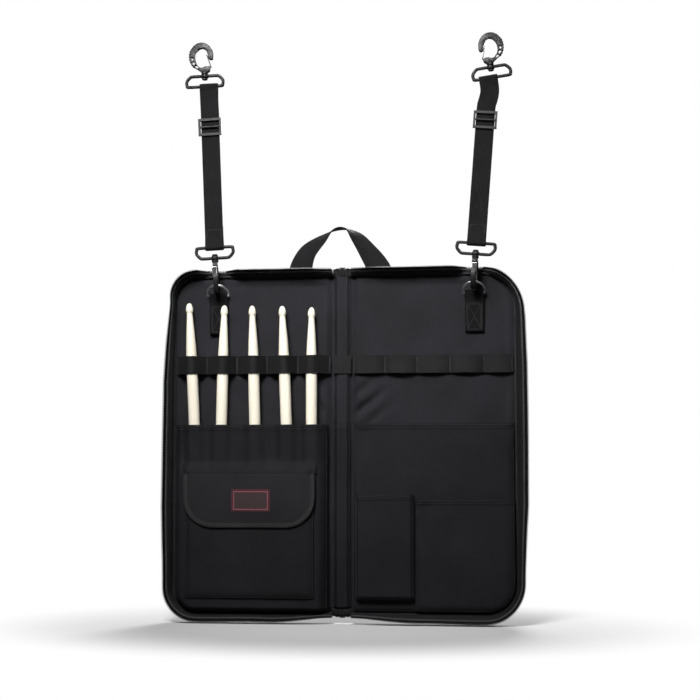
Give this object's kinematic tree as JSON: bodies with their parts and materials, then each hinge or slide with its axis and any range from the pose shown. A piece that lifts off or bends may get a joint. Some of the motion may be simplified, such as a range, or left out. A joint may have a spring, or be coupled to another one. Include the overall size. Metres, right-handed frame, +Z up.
{
  "type": "drum stick bag",
  "caption": "Zip-round soft bag that opens like a book, with pockets, elastic loops holding drum sticks, a webbing handle, and clip straps that hang it open.",
  "frame": {"origin": "on the line through the seats of the two upper clips, in the middle plane of the spine", "axes": "+Z up along the hanging straps, +X to the right as seen from the open side, -Y out of the lining towards the viewer"},
  "size_m": [0.4848, 0.0666, 0.7829],
  "materials": {
    "outer_fabric": "600D woven polyester, matt",
    "board": "plain",
    "foam": "closed-cell foam, stands in as fabric",
    "lining": "fine woven nylon, slight bluish sheen",
    "webbing": "ribbed nylon webbing",
    "elastic": "ribbed elastic, matt",
    "zip": "satin coil zip",
    "label": "woven label with a red edge",
    "clip_plastic": "satin, gunmetal",
    "steel": "nickel plated, bright",
    "maple": "lacquered, pale"
  },
  "bodies": {
    "left_leaf": {"left_outer_shell": "outer_fabric", "left_board": "board", "left_foam": "foam", "left_lining": "lining", "left_soft_wall": "outer_fabric", "left_zip_half": "zip", "left_piping": "outer_fabric", "left_stick_loops": "elastic", "stick_pocket": "lining", "flap_pocket": "lining", "left_tab": "webbing"},
    "flap": {"flap": "lining", "label_patch": "label"},
    "spine": {"spine_shell": "outer_fabric", "spine_foam": "foam", "spine_lining": "lining", "spine_band": "elastic", "spine_cover": "lining", "handle": "webbing", "zip_slider": "steel", "zip_end_stop": "steel"},
    "zip_pull": {"zip_pull": "steel"},
    "right_leaf": {"right_outer_shell": "outer_fabric", "right_board": "board", "right_foam": "foam", "right_lining": "lining", "right_soft_wall": "outer_fabric", "right_zip_half": "zip", "right_piping": "outer_fabric", "right_stick_loops": "elastic", "upper_pocket": "lining", "middle_pocket": "lining", "box_pocket": "lining", "right_tab": "webbing", "back_tabs": "webbing"},
    "back_ring_top": {"back_ring_top": "steel"},
    "back_ring_bottom": {"back_ring_bottom": "steel"},
    "stick_1": {"stick_1": "maple"},
    "stick_2": {"stick_2": "maple"},
    "stick_3": {"stick_3": "maple"},
    "stick_4": {"stick_4": "maple"},
    "stick_5": {"stick_5": "maple"},
    "left_ring": {"left_ring": "steel"},
    "left_lower_clip": {"left_lower_clip": "clip_plastic"},
    "left_lower_gate": {"left_lower_gate": "steel"},
    "left_lower_loop": {"left_lower_loop": "clip_plastic"},
    "left_strap": {"left_strap": "webbing"},
    "left_strap_slider": {"left_strap_slider": "clip_plastic"},
    "left_upper_loop": {"left_upper_loop": "clip_plastic"},
    "left_upper_clip": {"left_upper_clip": "clip_plastic"},
    "left_upper_gate": {"left_upper_gate": "steel"},
    "right_ring": {"right_ring": "steel"},
    "right_lower_clip": {"right_lower_clip": "clip_plastic"},
    "right_lower_gate": {"right_lower_gate": "steel"},
    "right_lower_loop": {"right_lower_loop": "clip_plastic"},
    "right_strap": {"right_strap": "webbing"},
    "right_strap_slider": {"right_strap_slider": "clip_plastic"},
    "right_upper_loop": {"right_upper_loop": "clip_plastic"},
    "right_upper_clip": {"right_upper_clip": "clip_plastic"},
    "right_upper_gate": {"right_upper_gate": "steel"}
  },
  "joints": [
    {"name": "left_fold", "type": "hinge", "parent": "left_leaf", "child": "spine", "pos_m": [-0.017, 0.0175, -0.53274], "axis": [0, 0, -1], "range_deg": [0, 90]},
    {"name": "right_fold", "type": "hinge", "parent": "spine", "child": "right_leaf", "pos_m": [0.017, 0.0175, -0.53274], "axis": [0, 0, 1], "range_deg": [-90, 0]},
    {"name": "flap_hinge", "type": "hinge", "parent": "left_leaf", "child": "flap", "pos_m": [-0.121, -0.002, -0.57724], "axis": [-1, 0, 0], "range_deg": [0, 100]},
    {"name": "zip_pull_hinge", "type": "hinge", "parent": "spine", "child": "zip_pull", "pos_m": [0, 0.0325, -0.30344], "axis": [1, 0, 0], "range_deg": [0, 90]},
    {"name": "back_ring_top_hinge", "type": "hinge", "parent": "right_leaf", "child": "back_ring_top", "pos_m": [0.175, 0.0351, -0.35174], "axis": [1, 0, 0], "range_deg": [0, 90]},
    {"name": "back_ring_bottom_hinge", "type": "hinge", "parent": "right_leaf", "child": "back_ring_bottom", "pos_m": [0.175, 0.0351, -0.75124], "axis": [1, 0, 0], "range_deg": [0, 90]},
    {"name": "stick_1_slide", "type": "slide", "parent": "left_leaf", "child": "stick_1", "axis": [-0.0523, 0, 0.9986], "range_m": [0, 0.03]},
    {"name": "stick_2_slide", "type": "slide", "parent": "left_leaf", "child": "stick_2", "axis": [0.0183, 0, 0.9998], "range_m": [0, 0.008]},
    {"name": "stick_3_slide", "type": "slide", "parent": "left_leaf", "child": "stick_3", "axis": [-0.0288, 0, 0.9996], "range_m": [0, 0.03]},
    {"name": "stick_4_slide", "type": "slide", "parent": "left_leaf", "child": "stick_4", "axis": [-0.0401, 0, 0.9992], "range_m": [0, 0.03]},
    {"name": "stick_5_slide", "type": "slide", "parent": "left_leaf", "child": "stick_5", "axis": [-0.0017, 0, 1], "range_m": [0, 0.03]},
    {"name": "left_ring_pivot", "type": "hinge", "parent": "left_leaf", "child": "left_ring", "pos_m": [-0.168, 0.0185, -0.33774], "axis": [1, 0, 0], "range_deg": [0, 50]},
    {"name": "left_lower_clip_pivot", "type": "hinge", "parent": "left_ring", "child": "left_lower_clip", "pos_m": [-0.168, 0.0035, -0.32528], "axis": [1, 0, 0], "range_deg": [0, 60]},
    {"name": "left_lower_gate_hinge", "type": "hinge", "parent": "left_lower_clip", "child": "left_lower_gate", "pos_m": [-0.16901, -0.0086, -0.3022], "axis": [0.999, 0, 0.0436], "range_deg": [0, 20], "stiffness_Nm_per_rad": 0.004, "springref_deg": -5.73},
    {"name": "left_lower_swivel", "type": "hinge", "parent": "left_lower_clip", "child": "left_lower_loop", "pos_m": [-0.1696, 0, -0.28861], "axis": [-0.0436, 0, 0.999], "continuous": true},
    {"name": "left_strap_lower_pivot", "type": "hinge", "parent": "left_lower_loop", "child": "left_strap", "pos_m": [-0.17021, 0, -0.27463], "axis": [0.999, 0, 0.0436], "range_deg": [-60, 60]},
    {"name": "left_strap_slide", "type": "slide", "parent": "left_strap", "child": "left_strap_slider", "axis": [-0.0436, 0, 0.999], "range_m": [-0.06, 0.01]},
    {"name": "left_strap_upper_pivot", "type": "hinge", "parent": "left_strap", "child": "left_upper_loop", "pos_m": [-0.17989, 0, -0.05284], "axis": [0.9997, 0, 0.0262], "range_deg": [-60, 60]},
    {"name": "left_upper_swivel", "type": "hinge", "parent": "left_upper_loop", "child": "left_upper_clip", "pos_m": [-0.18576, 0, -0.03899], "axis": [-0.0262, 0, 0.9997], "continuous": true},
    {"name": "left_upper_gate_hinge", "type": "hinge", "parent": "left_upper_clip", "child": "left_upper_gate", "pos_m": [-0.17752, 0, -0.02517], "axis": [0, -1, 0], "range_deg": [0, 20], "stiffness_Nm_per_rad": 0.004, "springref_deg": -5.73},
    {"name": "right_ring_pivot", "type": "hinge", "parent": "right_leaf", "child": "right_ring", "pos_m": [0.177, 0.0185, -0.33774], "axis": [1, 0, 0], "range_deg": [0, 50]},
    {"name": "right_lower_clip_pivot", "type": "hinge", "parent": "right_ring", "child": "right_lower_clip", "pos_m": [0.177, 0.0035, -0.32528], "axis": [1, 0, 0], "range_deg": [0, 60]},
    {"name": "right_lower_gate_hinge", "type": "hinge", "parent": "right_lower_clip", "child": "right_lower_gate", "pos_m": [0.17881, -0.0086, -0.30225], "axis": [0.9969, 0, -0.0785], "range_deg": [0, 20], "stiffness_Nm_per_rad": 0.004, "springref_deg": -5.73},
    {"name": "right_lower_swivel", "type": "hinge", "parent": "right_lower_clip", "child": "right_lower_loop", "pos_m": [0.17988, 0, -0.28869], "axis": [0.0785, 0, 0.9969], "continuous": true},
    {"name": "right_strap_lower_pivot", "type": "hinge", "parent": "right_lower_loop", "child": "right_strap", "pos_m": [0.18098, 0, -0.27474], "axis": [0.9969, 0, -0.0785], "range_deg": [-60, 60]},
    {"name": "right_strap_slide", "type": "slide", "parent": "right_strap", "child": "right_strap_slider", "axis": [0.0785, 0, 0.9969], "range_m": [-0.06, 0.01]},
    {"name": "right_strap_upper_pivot", "type": "hinge", "parent": "right_strap", "child": "right_upper_loop", "pos_m": [0.1984, 0, -0.05342], "axis": [0.9903, 0, 0.1392], "range_deg": [-60, 60]},
    {"name": "right_upper_swivel", "type": "hinge", "parent": "right_upper_loop", "child": "right_upper_clip", "pos_m": [0.20189, 0, -0.03879], "axis": [-0.1392, 0, 0.9903], "continuous": true},
    {"name": "right_upper_gate_hinge", "type": "hinge", "parent": "right_upper_clip", "child": "right_upper_gate", "pos_m": [0.19148, 0, -0.02652], "axis": [0, 1, 0], "range_deg": [0, 20], "stiffness_Nm_per_rad": 0.004, "springref_deg": -5.73}
  ]
}
